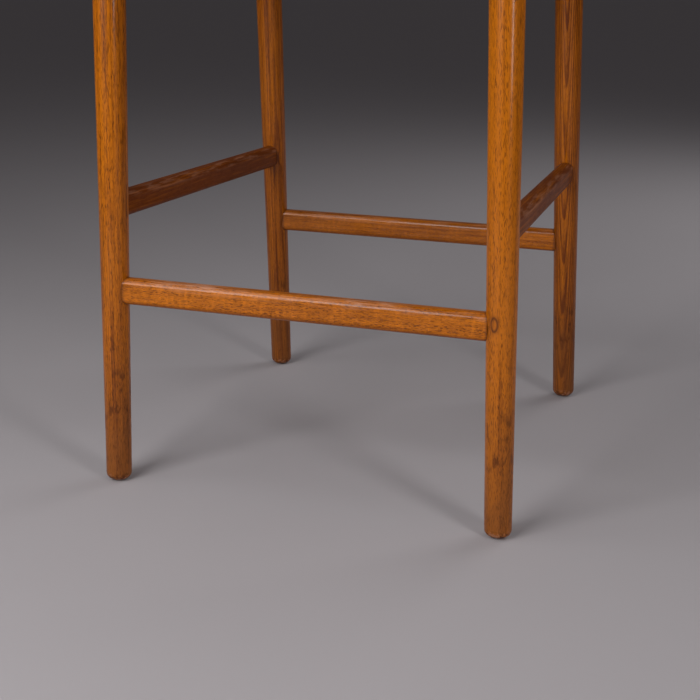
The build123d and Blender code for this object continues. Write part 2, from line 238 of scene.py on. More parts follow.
class Value:
    """One output of a material's node. Arithmetic on it adds Math nodes."""

    def __init__(self, recipe, socket):
        self.recipe = recipe
        self.socket = socket

    def __add__(self, other):
        return self.recipe.math("ADD", self, other)

    def __sub__(self, other):
        return self.recipe.math("SUBTRACT", self, other)

    def __rsub__(self, other):
        return self.recipe.math("SUBTRACT", other, self)

    def __mul__(self, other):
        return self.recipe.math("MULTIPLY", self, other)

    def __truediv__(self, other):
        return self.recipe.math("DIVIDE", self, other)

    __radd__ = __add__


class Recipe:
    """A material, or the surround, being made."""

    def __init__(self, name, kept_in="materials", place="Object"):
        self.made = getattr(bpy.data, kept_in).new(name)
        self.made.use_nodes = True
        self.tree = self.made.node_tree
        self.tree.nodes.clear()
        self.place = self.node("ShaderNodeTexCoord", out=place)

    def node(self, kind, settings=None, sockets=None, out=0):
        """Adds a node: its settings first, then the values or links of its sockets."""
        made = self.tree.nodes.new(kind)
        for key, value in (settings or {}).items():
            setattr(made, key, value)
        for key, value in (sockets or {}).items():
            if isinstance(value, Value):
                self.tree.links.new(value.socket, made.inputs[key])
            else:
                made.inputs[key].default_value = value
        return Value(self, made.outputs[out]) if made.outputs else None

    def math(self, operation, a, b=0.0):
        return self.node("ShaderNodeMath", {"operation": operation}, {0: a, 1: b})

    def vector(self, operation, a, b=(0.0, 0.0, 0.0)):
        return self.node("ShaderNodeVectorMath", {"operation": operation}, {0: a, 1: b})

    def measure(self, operation, a, b=(0.0, 0.0, 0.0)):
        """A Vector Math node that gives a number, such as LENGTH or DISTANCE."""
        return self.node("ShaderNodeVectorMath", {"operation": operation}, {0: a, 1: b}, out=1)

    def part(self, vector, axis):
        return self.node("ShaderNodeSeparateXYZ", {}, {0: vector}, out=axis)

    def step(self, value, low, high, start=0.0, end=1.0):
        """A smooth step from start to end as value goes from low to high."""
        return self.node(
            "ShaderNodeMapRange",
            {"interpolation_type": "SMOOTHSTEP"},
            {"Value": value, "From Min": low, "From Max": high, "To Min": start, "To Max": end},
        )

    def fade(self, value, low, high):
        """A smooth step from 1 to 0."""
        return self.step(value, low, high, 1.0, 0.0)

    def greater(self, a, b):
        return self.math("MAXIMUM", a, b)

    def mix(self, factor, a, b, mode="MIX"):
        """A mix of two colours."""
        a, b = (c if isinstance(c, Value) else (*c, 1.0)[:4] for c in (a, b))
        settings = {"data_type": "RGBA", "blend_type": mode}
        return self.node("ShaderNodeMix", settings, {0: factor, 6: a, 7: b}, out=2)

    def local(self, start, turn, size=(1.0, 1.0, 1.0)):
        """Places measured from start in a turned frame, in units of size."""
        return self.node(
            "ShaderNodeMapping",
            {"vector_type": "TEXTURE"},
            {"Vector": self.place, "Location": start, "Rotation": turn.to_euler(), "Scale": size},
        )

    def noise(self, where, stretch, detail=2.0, roughness=0.5):
        """Noise whose grains are stretch wide, in metres: one size, or one for each axis."""
        stretch = stretch if isinstance(stretch, tuple) else (stretch,) * 3
        scaled = self.vector("MULTIPLY", where, [1 / s for s in stretch])
        sockets = {"Vector": scaled, "Scale": 1.0, "Detail": detail, "Roughness": roughness}
        return self.node("ShaderNodeTexNoise", {}, sockets)

    def cells(self, where, size, feature="F1"):
        sockets = {"Vector": where, "Scale": 1 / size}
        return self.node("ShaderNodeTexVoronoi", {"feature": feature}, sockets)

    def done(self, base, rough, relief, depth, strength, others=None):
        """Adds the shader, with relief as a bump of some depth, and returns the material."""
        bump = {"Height": relief, "Distance": depth, "Strength": strength}
        normal = self.node("ShaderNodeBump", {}, bump)
        sockets = {"Base Color": base, "Roughness": rough, "Normal": normal, **(others or {})}
        shader = self.node("ShaderNodeBsdfPrincipled", {}, sockets)
        self.node("ShaderNodeOutputMaterial", {}, {"Surface": shader})
        return self.made


def times(colour, amount):
    """A colour made darker or lighter."""
    return [c * amount for c in colour]


# ---------------------------------------------------------------- wood

# How a piece was sawn: where the heart of its log lay from the piece's axis, in metres, how
# that drifts along the piece, how strong its rings, flecks, silky ray bands and streaks are,
# how dark the whole piece is, and how long its flecks are, as a share of the usual length.
# For the rear legs and the side stretchers, the darkness also holds painted shade.
Figure = namedtuple(
    "Figure", "heart drift rings flecks silk streaks dark fleck_share", defaults=(1.0,)
)
RING_WANDER = 16 * MM       # how far the rings stray from true circles
STREAK_SIZE = (5.2 * MM, 5.2 * MM, 170 * MM)
FIBRE_SIZE = (1.0 * MM, 1.0 * MM, 30 * MM)


def grain(recipe, wood, bar, figure):
    """The wood's figure: tone from 0, light, to 1, dark, the fleck mask and the fine fibre."""
    where = recipe.local(bar.start, bar.turn)
    wander = recipe.noise(where, (0.09, 0.09, 0.42), 2.0) - 0.5
    heart = Vector((figure.heart[0], figure.heart[1], 0.0))
    drift = recipe.vector("MULTIPLY", recipe.part(where, 2), (*figure.drift, 0.0))
    from_heart = recipe.vector("SUBTRACT", recipe.vector("MULTIPLY", where, (1, 1, 0)), heart)
    radius = recipe.measure("LENGTH", recipe.vector("SUBTRACT", from_heart, drift))
    year = recipe.math("FRACT", (radius + wander * RING_WANDER) / wood.ring_spacing)
    late = recipe.step(year, 0.30, 0.86) * recipe.fade(year, 0.90, 1.0)
    streak = recipe.noise(where, STREAK_SIZE, 3.0, 0.55)
    broad = recipe.noise(where, (0.03, 0.03, 0.30), 1.0)
    fibre = recipe.noise(where, FIBRE_SIZE, 2.0)
    tone = (
        recipe.step(streak, 0.40, 0.72) * figure.streaks
        + late * figure.rings
        + (broad - 0.5) * 0.75
        + (fibre - 0.5) * 1.05
        + figure.dark
    )
    wide, long = wood.fleck_width, wood.fleck_length * figure.fleck_share
    fine = recipe.noise(where, (wide, wide, long), 1.0)
    coarse = recipe.noise(where, (wide * 1.7, wide * 1.7, long * 2.6), 2.0)
    crowd = recipe.step(streak, 0.36, 0.62, 0.5, 1.0)
    flecks = recipe.greater(
        recipe.step(fine, 0.53, 0.63) * crowd,
        recipe.step(coarse, 0.585, 0.69) * 0.85 * figure.fleck_share,
    )
    return where, recipe.math("MINIMUM", tone, 1.0), flecks * figure.flecks, fibre


def stained(recipe, wood, tone, flecks):
    base = recipe.mix(tone, wood.stain_light, wood.stain_dark)
    return recipe.mix(flecks * 0.86, base, wood.fleck)


def bar_joint_shade(recipe, place, turn, half_width, half_depth):
    """Painted shade where a leg meets a bar's shoulder: 1 under the bar, fading in a thin band round
    it.
    """
    seen = recipe.local(place, turn, (half_width, half_depth, 1.0))
    ahead = recipe.step(recipe.part(seen, 2), 0.0, 6 * MM)
    spread = recipe.measure("LENGTH", recipe.vector("MULTIPLY", seen, (1, 1, 0)))
    return recipe.fade(spread, 1.0, 1.17) * ahead


def leg_joint_shade(recipe, axis_point, radius):
    """Painted shade where a bar meets a leg: 1 at the leg's surface, fading over a few millimetres.
    """
    flat = recipe.vector("MULTIPLY", recipe.place, (1, 1, 0))
    away = recipe.measure("DISTANCE", flat, (axis_point.x, axis_point.y, 0.0))
    return recipe.fade(away, radius, radius + 3.2 * MM)


def lacquered(recipe, wood, base, fibre, flecks, worn):
    """The satin lacquer over stained wood, duller where it is worn."""
    patchy = recipe.noise(recipe.place, (0.03, 0.03, 0.05), 2.0)
    rough = wood.gloss + (patchy - 0.5) * 0.16 + worn * 0.20 + flecks * 0.05
    relief = fibre * 0.35 - flecks * 0.5
    return recipe.done(base, rough, relief, 0.10 * MM, 0.55, {
        "IOR": 1.5,
        "Specular IOR Level": 0.14,
        "Coat Weight": 0.42 - worn * 0.34,
        "Coat Roughness": 0.13,
    })


def leg_wood(name, wood, bar, figure, joints, knot=None):
    """Stained wood for a leg: browner and worn at the foot, with painted shade where the bars meet
    it.
    """
    recipe = Recipe(name)
    where, tone, flecks, fibre = grain(recipe, wood, bar, figure)
    height = recipe.part(recipe.place, 2)
    if knot:
        centre, size = knot
        from_knot = recipe.measure("LENGTH", recipe.local(centre, bar.turn, size))
        rim = recipe.step(from_knot, 0.45, 0.8) * recipe.fade(from_knot, 0.85, 1.15)
        halo = recipe.step(from_knot, 0.9, 1.9, 0.45, 0.0)
        tone = recipe.math("MINIMUM", tone + halo, 1.0)
        flecks = recipe.greater(flecks, rim * 0.95)
    base = stained(recipe, wood, tone, flecks)
    # The lower part is handled and mopped against: browner, with dark smudges and nicks.
    patch = recipe.noise(recipe.place, (0.022, 0.022, 0.06), 3.0)
    low = recipe.fade(height, 20 * MM, wood.foot_height)
    worn = low * recipe.step(patch, 0.30, 0.62, 0.55, 1.0)
    base = recipe.mix(worn * 0.72, base, recipe.mix(flecks * 0.5, wood.handled, wood.fleck))
    smudge = recipe.noise(where, (0.006, 0.006, 0.02), 3.0, 0.6)
    band = recipe.step(height, 50 * MM, 90 * MM) * recipe.fade(height, 115 * MM, 150 * MM)
    smudges = recipe.step(smudge, 0.52, 0.66) * band
    nick = recipe.noise(recipe.place, 0.0042, 2.0)
    edge = recipe.fade(height, 5 * MM, 13 * MM)
    nicks = recipe.step(nick, 0.52, 0.60) * edge
    base = recipe.mix(recipe.fade(nick, 0.40, 0.46) * edge * 0.35, base, wood.scuff)
    dirt_and_joint_shade = recipe.greater(smudges * 0.7, nicks * 0.9)
    # Painted shade round each bar that meets the leg, added to the real smudges and nicks.
    for place, turn, half_width, half_depth in joints:
        shade = bar_joint_shade(recipe, place, turn, half_width, half_depth)
        dirt_and_joint_shade = recipe.greater(dirt_and_joint_shade, shade * 0.5)
    base = recipe.mix(dirt_and_joint_shade, base, wood.fleck)
    return lacquered(recipe, wood, base, fibre, flecks, worn * 0.6)


def bar_wood(name, wood, bar, figure, posts, size, scuffs, dull):
    """Stained wood for a bar between two legs: painted shade at its shoulders and on its lower
    roundings, and rubbed edges.
    """
    half_width, half_depth = size
    recipe = Recipe(name)
    where, tone, flecks, fibre = grain(recipe, wood, bar, figure)
    across = recipe.math("ABSOLUTE", recipe.part(where, 0)) / half_width
    up = recipe.part(where, 1) / half_depth
    along = recipe.part(where, 2)
    base = stained(recipe, wood, tone, flecks)
    # Silky bands of rays stand across the grain on the two wide faces.
    rays = recipe.noise(where, (0.004, 0.022, 0.0062), 2.0, 0.6)
    silk = recipe.step(rays, 0.45, 0.66) * recipe.step(across, 0.80, 0.98) * figure.silk
    base = recipe.mix(silk, base, recipe.mix(1.0, base, (1.55, 1.6, 2.2), "MULTIPLY"))
    # Rubbing: paler on the upper roundings.
    rubbed = recipe.noise(where, (0.004, 0.004, 0.03), 3.0, 0.6)
    ridge = recipe.step(across + up, 1.25, 1.62) * recipe.step(rubbed, 0.44, 0.62)
    base = recipe.mix(ridge * 0.22, base, wood.scuff)
    # Painted shade: the lower roundings are darkened towards the dark stain.
    under = recipe.fade(up, -0.95, -0.55)
    base = recipe.mix(under * 0.42, base, wood.stain_dark)
    worn = recipe.greater(ridge * 0.5, dull)
    if scuffs:
        # Shoes have rubbed the top edge near the left leg and at the middle; these pale scuffs also
        # serve as a painted highlight there.
        smear = recipe.noise(where, (0.0022, 0.0022, 0.026), 3.0, 0.62)
        left = recipe.step(along, 30 * MM, 60 * MM) * recipe.fade(along, 110 * MM, 160 * MM)
        centre = recipe.step(along, 240 * MM, 270 * MM) * recipe.fade(along, 300 * MM, 340 * MM)
        zone = recipe.greater(left, centre * 0.8)
        scuffs_and_painted_highlight = recipe.step(smear, 0.47, 0.60) * recipe.step(up, 0.62, 0.86) * zone
        base = recipe.mix(scuffs_and_painted_highlight * scuffs, base, wood.scuff)
        worn = recipe.greater(worn, scuffs_and_painted_highlight)
    # Painted shade at each end of the bar, where it meets a leg.
    shade = 0.0
    for point, radius in posts:
        here = leg_joint_shade(recipe, point, radius)
        shade = recipe.greater(here, shade)
    base = recipe.mix(shade * 0.66, base, wood.fleck)
    return lacquered(recipe, wood, base, fibre, flecks, worn)


def bare_wood(name, wood, bar, figure):
    """Beech with no stain or lacquer, for what is inside the seat frame."""
    recipe = Recipe(name)
    _, tone, flecks, fibre = grain(recipe, wood, bar, figure)
    base = recipe.mix(tone, wood.bare_light, wood.bare_dark)
    base = recipe.mix(flecks * 0.5, base, recipe.mix(0.5, wood.bare_dark, wood.stain_dark))
    saw = recipe.noise(recipe.place, (0.02, 0.0012, 0.0012), 2.0)
    rough = 0.58 + (fibre - 0.5) * 0.2 + (saw - 0.5) * 0.1
    relief = fibre * 0.5 - flecks * 0.5 + saw * 0.3
    return recipe.done(base, rough, relief, 0.15 * MM, 0.6, {"Specular IOR Level": 0.35})


def plywood(name, wood, base_height, ply):
    """Birch plywood: a quiet face grain, and plies that show on the edges."""
    recipe = Recipe(name)
    height = recipe.part(recipe.place, 2) - base_height
    layer = recipe.math("FRACT", height / (2 * ply))
    crossed = recipe.step(layer, 0.47, 0.53)
    long_grain = recipe.noise(recipe.place, (0.14, 0.004, 0.004), 3.0)
    short_grain = recipe.noise(recipe.place, (0.004, 0.14, 0.004), 3.0)
    figure = long_grain * (1 - crossed) + short_grain * crossed
    glue = recipe.step(recipe.math("ABSOLUTE", layer - 0.5), 0.42, 0.5) * 0.6
    base = recipe.mix(recipe.step(figure, 0.3, 0.7), wood.bare_light, wood.bare_dark)
    base = recipe.mix(crossed * 0.35 + glue * 0.4, base, wood.bare_dark)
    return recipe.done(base, 0.6 + (figure - 0.5) * 0.2, figure, 0.2 * MM, 0.5)


# ---------------------------------------------------------------- other finishes


def leather(name, seat, edge_height, seam=None):
    """Grained leather, rubbed paler round its top edge; seam is where its rear seam stands."""
    recipe = Recipe(name)
    bend = recipe.noise(recipe.place, 0.006, 2.0) - 0.5
    where = recipe.vector("ADD", recipe.place, recipe.vector("MULTIPLY", bend, (0.0022,) * 3))
    pebble = recipe.cells(where, seat.grain_size, "SMOOTH_F1")
    small = recipe.cells(where, seat.grain_size * 0.45, "F1")
    crease = recipe.cells(where, seat.grain_size * 7, "DISTANCE_TO_EDGE")
    lines = recipe.fade(crease, 0.0, 0.05)
    cloud = recipe.noise(recipe.place, 0.05, 3.0)
    valley = recipe.step(pebble, 0.45, 0.85)
    relief = (1 - pebble) * 0.8 + (1 - small) * 0.25 - lines * 0.35
    height = recipe.part(recipe.place, 2)
    rub = recipe.noise(recipe.place, (0.012, 0.012, 0.006), 3.0, 0.6)
    near_edge = recipe.step(height, edge_height - 5 * MM, edge_height - 1 * MM)
    near_edge = near_edge * recipe.fade(height, edge_height + 1 * MM, edge_height + 3 * MM)
    wear = near_edge * recipe.step(rub, 0.50, 0.70)
    base = recipe.mix(recipe.step(cloud, 0.35, 0.7) * 0.5, seat.leather, times(seat.leather, 1.9))
    base = recipe.mix(valley * 0.5, base, times(seat.leather, 0.35))
    base = recipe.mix(wear * 0.55, base, seat.leather_wear)
    rough = 0.40 + (cloud - 0.5) * 0.18 + valley * 0.14 - wear * 0.06
    if seam is not None:
        across = recipe.math("ABSOLUTE", recipe.part(recipe.place, 0) - seam.x)
        behind = recipe.step(recipe.part(recipe.place, 1), seam.y - 12 * MM, seam.y - 6 * MM)
        below = recipe.fade(height, edge_height - 4 * MM, edge_height - 2 * MM)
        groove = recipe.fade(across, 0.25 * MM, 0.9 * MM) * behind * below
        relief = relief - groove * 3.0
        base = recipe.mix(groove * 0.8, base, times(seat.leather, 0.2))
    others = {"IOR": 1.48, "Sheen Weight": 0.06, "Sheen Roughness": 0.5}
    return recipe.done(base, rough, relief, 0.28 * MM, 0.75, others)


def foam_block(name, seat):
    recipe = Recipe(name)
    pore = recipe.cells(recipe.place, 1.1 * MM)
    cloud = recipe.noise(recipe.place, 0.05, 2.0)
    # Painted shade in the foam's pores: the holes are darkened.
    hole = recipe.fade(pore, 0.1, 0.5)
    base = recipe.mix(hole * 0.5, seat.foam, times(seat.foam, 0.45))
    base = recipe.mix(cloud * 0.3, base, times(seat.foam, 0.8))
    return recipe.done(base, 0.85 + hole * 0.1, pore, 0.4 * MM, 0.8)


def fibre_fill(name, seat):
    recipe = Recipe(name)
    tangle = recipe.noise(recipe.place, (0.0012, 0.004, 0.002), 4.0, 0.7)
    loft = recipe.noise(recipe.place, (0.014, 0.014, 0.01), 2.0)
    base = recipe.mix(recipe.step(tangle, 0.35, 0.7), times(seat.wadding, 0.75), seat.wadding)
    rough = 0.88 + (tangle - 0.5) * 0.1
    return recipe.done(base, rough, tangle + loft, 0.8 * MM, 0.8, {"Sheen Weight": 0.2})


def woven_cloth(name, seat):
    """A thin black cloth: a plain weave of flat threads, with lint."""
    recipe = Recipe(name)
    thread = 0.9 * MM
    warp = recipe.math("SINE", recipe.part(recipe.place, 0) * (2 * math.pi / thread))
    weft = recipe.math("SINE", recipe.part(recipe.place, 1) * (2 * math.pi / thread))
    weave = warp * weft
    lint = recipe.noise(recipe.place, (0.004, 0.0012, 0.004), 4.0, 0.7)
    cloud = recipe.noise(recipe.place, 0.06, 2.0)
    base = recipe.mix(recipe.step(lint, 0.60, 0.72) * 0.5, seat.cloth, times(seat.cloth, 5))
    base = recipe.mix(cloud * 0.4, base, times(seat.cloth, 1.8))
    rough = 0.86 + weave * 0.06
    return recipe.done(base, rough, weave + lint, 0.15 * MM, 0.7, {"Sheen Weight": 0.15})


def metal(name, bright, dull, roughness, wear):
    """Plated or drawn metal, cloudy and a little spotted."""
    recipe = Recipe(name)
    cloud = recipe.noise(recipe.place, 0.004, 3.0, 0.6)
    brushed = recipe.noise(recipe.place, (0.0003, 0.0003, 0.004), 2.0)
    spots = recipe.step(recipe.noise(recipe.place, 0.0011, 2.0), 0.60, 0.70) * wear
    base = recipe.mix(recipe.step(cloud, 0.3, 0.7), bright, dull)
    base = recipe.mix(spots, base, times(dull, 0.35))
    metallic = 1 - spots * 0.5
    rough = roughness + (cloud - 0.5) * 0.25 + spots * 0.25
    return recipe.done(base, rough, brushed - spots, 0.03 * MM, 0.6, {"Metallic": metallic})


def hard_plastic(name, base_colour, scratched):
    recipe = Recipe(name)
    scratch = recipe.noise(recipe.place, (0.0004, 0.004, 0.002), 3.0)
    speck = recipe.noise(recipe.place, 0.0012, 2.0)
    marks = recipe.step(scratch, 0.58, 0.68)
    base = recipe.mix(marks * 0.6, base_colour, scratched)
    base = recipe.mix(speck * 0.3, base, times(base_colour, 0.6))
    return recipe.done(base, 0.42 + marks * 0.25, speck - marks, 0.05 * MM, 0.5)


def floor_paper(name, studio):
    """Matt pale paper with faint clouds."""
    recipe = Recipe(name)
    cloud = recipe.noise(recipe.place, 0.5, 3.0)
    tooth = recipe.noise(recipe.place, 0.0016, 2.0)
    base = recipe.mix(cloud * 0.25, studio.floor, times(studio.floor, 0.88))
    rough = 0.80 + (tooth - 0.5) * 0.1
    return recipe.done(base, rough, tooth, 0.1 * MM, 0.2, {"Specular IOR Level": 0.2})


# ---------------------------------------------------------------- mesh tools


def paint(piece, material):
    piece.data.materials.clear()
    piece.data.materials.append(material)


def new_piece(name, points, faces):
    """A smooth-shaded mesh object from its points and faces."""
    mesh = bpy.data.meshes.new(name)
    mesh.from_pydata([tuple(p) for p in points], [], faces)
    mesh.validate()
    mesh.shade_smooth()
    piece = bpy.data.objects.new(name, mesh)
    bpy.context.scene.collection.objects.link(piece)
    return piece


def settled_mesh(piece):
    graph = bpy.context.evaluated_depsgraph_get()
    return bpy.data.meshes.new_from_object(piece.evaluated_get(graph))


def settle_modifiers(piece):
    """Applies a piece's modifiers to its mesh."""
    mesh = settled_mesh(piece)
    piece.modifiers.clear()
    piece.data = mesh
    mesh.shade_smooth()


def thicken(piece, thickness):
    """Gives a surface a thickness, on the inner side of its normals."""
    shell = piece.modifiers.new("Thickness", "SOLIDIFY")
    shell.thickness = thickness
    shell.offset = -1.0
    shell.use_quality_normals = True


def smooth_out(piece):
    surface = piece.modifiers.new("Smoothing", "SUBSURF")
    surface.levels = surface.render_levels = 1


def walk(points, count):
    """A polyline divided into count equal steps, with its first point and not its last."""
    runs = [(b - a).length for a, b in zip(points, points[1:])]
    total, made, i, done = sum(runs), [], 0, 0.0
    for k in range(count):
        target = total * k / count
        while done + runs[i] < target and i < len(runs) - 1:
            done += runs[i]
            i += 1
        made.append(points[i].lerp(points[i + 1], (target - done) / runs[i]))
    return made


OUTLINE_SAMPLES = 2400


def outline_of(node, cells):
    """A node's outline in plan, anticlockwise from its front left corner: cells steps a side."""
    flat = [Vector((v.co.x, v.co.y)) for v in nodes[node].data.vertices]
    hull = [flat[i] for i in geometry.convex_hull_2d(flat)]
    area = sum(a.x * b.y - a.y * b.x for a, b in zip(hull, hull[1:] + hull[:1]))
    if area < 0:
        hull.reverse()
    dense = walk(hull + hull[:1], OUTLINE_SAMPLES)
    corners = [(-1, -1), (1, -1), (1, 1), (-1, 1)]
    marks = [max(range(len(dense)), key=lambda i: dense[i].dot(Vector(c))) for c in corners]
    outline = []
    for k, start in enumerate(marks):
        end = marks[(k + 1) % 4]
        stretch = dense[start:] + dense[:end + 1] if end < start else dense[start:end + 1]
        outline += walk(stretch, cells)
    return outline


def inward(outline, i):
    """The way into an anticlockwise outline, square to it at one point."""
    ahead = outline[(i + 1) % len(outline)] - outline[i - 1]
    return Vector((-ahead.y, ahead.x)).normalized()


def ring(outline, inset, height):
    """The outline as a ring of points, moved inwards and set at a height. Both may be functions."""
    points = []
    for i, p in enumerate(outline):
        into = inset(i) if callable(inset) else inset
        z = height(i) if callable(height) else height
        q = p + inward(outline, i) * into
        points.append(Vector((q.x, q.y, z)))
    return points


def ladder(first, second, count):
    """Faces between two rings of count points that start at the given indices."""
    return [
        (first + i, first + (i + 1) % count, second + (i + 1) % count, second + i)
        for i in range(count)
    ]


def fill_ring(border, start, next_index, rise):
    """A grid inside a ring of 4 * cells points: its new points, and faces that share the ring.

    rise(u, v) lifts a point, with u and v from 0 to 1 across the grid."""
    cells = len(border) // 4
    front = border[:cells + 1]
    right = border[cells:2 * cells + 1]
    rear = border[2 * cells:3 * cells + 1][::-1]
    left = (border[3 * cells:] + border[:1])[::-1]
    index, points = {}, []
    for i in range(cells + 1):
        index[i, 0] = start + i
        index[cells, i] = start + cells + i
        index[cells - i, cells] = start + 2 * cells + i
        index[0, cells - i] = start + (3 * cells + i) % (4 * cells)
    for i in range(1, cells):
        for j in range(1, cells):
            u, v = i / cells, j / cells
            sides = front[i] * (1 - v) + rear[i] * v + left[j] * (1 - u) + right[j] * u
            low = front[0] * (1 - u) + front[-1] * u
            high = rear[0] * (1 - u) + rear[-1] * u
            point = sides - low * (1 - v) - high * v
            point.z += rise(u, v)
            index[i, j] = next_index + len(points)
            points.append(point)
    faces = [
        (index[i, j], index[i + 1, j], index[i + 1, j + 1], index[i, j + 1])
        for i in range(cells)
        for j in range(cells)
    ]
    return points, faces


def stack(rings):
    """The points of some rings, and the faces between each and the next."""
    count = len(rings[0])
    points = [p for r in rings for p in r]
    faces = [f for k in range(len(rings) - 1) for f in ladder(k * count, (k + 1) * count, count)]
    return points, faces


def dome(u, v, steep=2.3):
    """A pillow's rise: 0 on its edges, quick near them, 1 in the middle."""
    return (1 - abs(2 * u - 1) ** steep) * (1 - abs(2 * v - 1) ** steep)


def tube(name, centres, radius, sides):
    """A closed tube along a closed, nearly level line of points."""
    points, count = [], len(centres)
    for i, c in enumerate(centres):
        ahead = (centres[(i + 1) % count] - centres[i - 1]).normalized()
        out = ahead.cross(Vector((0, 0, 1))).normalized()
        up = out.cross(ahead)
        for k in range(sides):
            a = 2 * math.pi * k / sides
            points.append(c + (out * math.cos(a) + up * math.sin(a)) * radius(i))
    faces = [
        face[::-1]
        for i in range(count)
        for face in ladder(i * sides, (i + 1) % count * sides, sides)
    ]
    return new_piece(name, points, faces)


# ---------------------------------------------------------------- the seat's cover

SEAT_CELLS = 64             # steps along each side of the seat
UNDERSIDE_STEPS = 5
FOLD_STEPS = 3
BAND_STEPS = 8
PAD_STEPS = 4
TURN_IN = 48 * MM           # how far the leather is turned in under the board
FOLD_RADIUS = 2.4 * MM
BAND_STOP = 5 * MM          # how far below the seam the boxing starts to curl in
ROOT_INSET = 2.8 * MM       # where the top panel and the boxing meet, under the welt
ROOT_DROP = 2.8 * MM
PUCKER_DEPTH = 0.45 * MM
PUCKER_REACH = 6 * MM       # how far from the seam its gathers fade
# Insets from the seam to the edge of the top panel's grid, and the rise of the panel there.
SHOULDER = ((1.2 * MM, 1.3 * MM), (3.0 * MM, 2.3 * MM), (5.4 * MM, 3.0 * MM))


def between_corners(i):
    """0 at the seat's corners, 1 half way along a side."""
    t = (i % SEAT_CELLS) / SEAT_CELLS
    return max(0.0, 1 - (2 * t - 1) ** 4) ** 1.5


def pucker(i, reach):
    """Small uneven gathers along the seam, fading away from it."""
    gather = noise.noise(Vector((i * 0.55, reach * 90, 3.0)))
    return gather * PUCKER_DEPTH * math.exp(-reach / PUCKER_REACH)


class CoverShape:
    """The rings of the seat's cover, from the edge of its turned-in leather to its top panel."""

    def __init__(self, seat):
        low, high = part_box("seat_cover")
        self.outline = outline_of("seat_cover", SEAT_CELLS)
        self.base, self.top = low.z, high.z
        self.root = high.z - ROOT_DROP
        self.seat = seat
        self.count = len(self.outline)

    def waist(self, i, share_up):
        """How far in a point of the boxing stands, share_up of the way from its foot to its head."""
        pull = self.seat.pull_in * between_corners(i) * share_up**1.3
        bulge = self.seat.side_bulge * math.sin(math.pi * share_up) ** 0.8
        wave = noise.noise(Vector((i * 0.13, share_up * 2.2, 7.0))) * 0.5 * MM
        return pull - bulge * (0.5 + 0.5 * between_corners(i)) + wave * math.sin(math.pi * share_up)

    def lift(self, i):
        """The seam rides a little higher at the corners."""
        return 1.0 * MM * (1 - between_corners(i)) ** 2

    def rings(self):
        """From the edge of the turned-in leather, round the fold and up to the top panel."""
        made = []

        def add(inset, height):
            made.append(ring(self.outline, inset, height))

        for k in range(UNDERSIDE_STEPS):
            add(TURN_IN + (FOLD_RADIUS * 1.4 - TURN_IN) * k / (UNDERSIDE_STEPS - 1), self.base)
        for k in range(1, FOLD_STEPS + 1):
            a = math.pi / 2 * k / (FOLD_STEPS + 1)
            add(FOLD_RADIUS * (1 - math.sin(a)), self.base + FOLD_RADIUS * (1 - math.cos(a)))
        foot, head = self.base + FOLD_RADIUS, self.root - BAND_STOP
        for k in range(BAND_STEPS + 1):
            up = k / BAND_STEPS
            add(
                lambda i: self.waist(i, up),
                lambda i: foot + (head - foot) * up + self.lift(i) * up,
            )
        add(
            lambda i: self.waist(i, 1) + 0.7 * MM + pucker(i, 3 * MM),
            lambda i: self.root - 2.2 * MM + self.lift(i),
        )
        self.root_ring = len(made)
        add(lambda i: self.waist(i, 1) + ROOT_INSET, lambda i: self.root + self.lift(i))
        for inset, rise in SHOULDER:
            add(
                lambda i: self.waist(i, 1) + ROOT_INSET + inset,
                lambda i: self.root + rise + self.lift(i) + pucker(i, inset),
            )
        return made

    def rise(self, u, v):
        """The crown of the top panel, with the shallow hollows of a seat that has been sat on."""
        hollow = noise.noise(Vector((u * 2.1, v * 2.1, 1.0))) * 0.9 * MM
        return self.seat.crown * dome(u, v) + hollow * dome(u, v)


LEATHER_STIFFNESS = {"tension": 12, "compression": 12, "shear": 6, "bending": 8}


def plump(piece, seat, pins):
    """Lets the cover swell as cloth under pressure, held at its pinned points."""
    start = [v.co.copy() for v in piece.data.vertices]
    group = piece.vertex_groups.new(name="held")
    for i, weight in pins.items():
        group.add([i], weight, "REPLACE")
    cloth = piece.modifiers.new("Plumping", "CLOTH")
    made = cloth.settings
    made.quality = 4
    made.mass = 0.35
    for kind, amount in LEATHER_STIFFNESS.items():
        setattr(made, f"{kind}_stiffness", amount)
    made.shrink_min = -0.002
    made.use_pressure = True
    made.uniform_pressure_force = seat.pressure
    made.vertex_group_mass = group.name
    made.effector_weights.gravity = 0.0
    cloth.collision_settings.use_collision = False
    scene = bpy.context.scene
    scene.frame_start = 1
    scene.frame_end = seat.settle_frames
    cloth.point_cache.frame_start = 1
    cloth.point_cache.frame_end = seat.settle_frames
    for step in range(1, seat.settle_frames + 1):
        scene.frame_set(step)
    settled = [v.co.copy() for v in settled_mesh(piece).vertices]
    piece.modifiers.remove(cloth)
    piece.vertex_groups.clear()
    for vertex, before, after in zip(piece.data.vertices, start, settled):
        move = after - before
        if move.length > seat.reach:
            move *= seat.reach / move.length
        vertex.co = before + move
    scene.frame_set(1)


def pad(outline, base, top, inset, edge_round, crown):
    """A crowned pad, open below, with a rounded top edge: its points, its faces, its lowest ring."""
    side = top - edge_round - base
    rings = [ring(outline, inset, base + side * k / PAD_STEPS) for k in range(PAD_STEPS + 1)]
    for k in range(1, PAD_STEPS + 1):
        a = math.pi / 2 * k / PAD_STEPS
        into = inset + edge_round * (1 - math.cos(a))
        rings.append(ring(outline, into, top - edge_round * (1 - math.sin(a))))
    points, faces = stack(rings)
    crest = len(points) - len(outline)
    more, grid = fill_ring(rings[-1], crest, len(points), lambda u, v: crown * dome(u, v))
    return points + more, faces + grid, rings[0]


# ---------------------------------------------------------------- operators


def dress(node, material):
    paint(nodes[node], material)


def hand_over(piece, node, material):
    """A new piece takes a CAD node's place, with its own material, and rides on the one body."""
    paint(piece, material)
    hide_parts(node)
    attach(piece, "root")


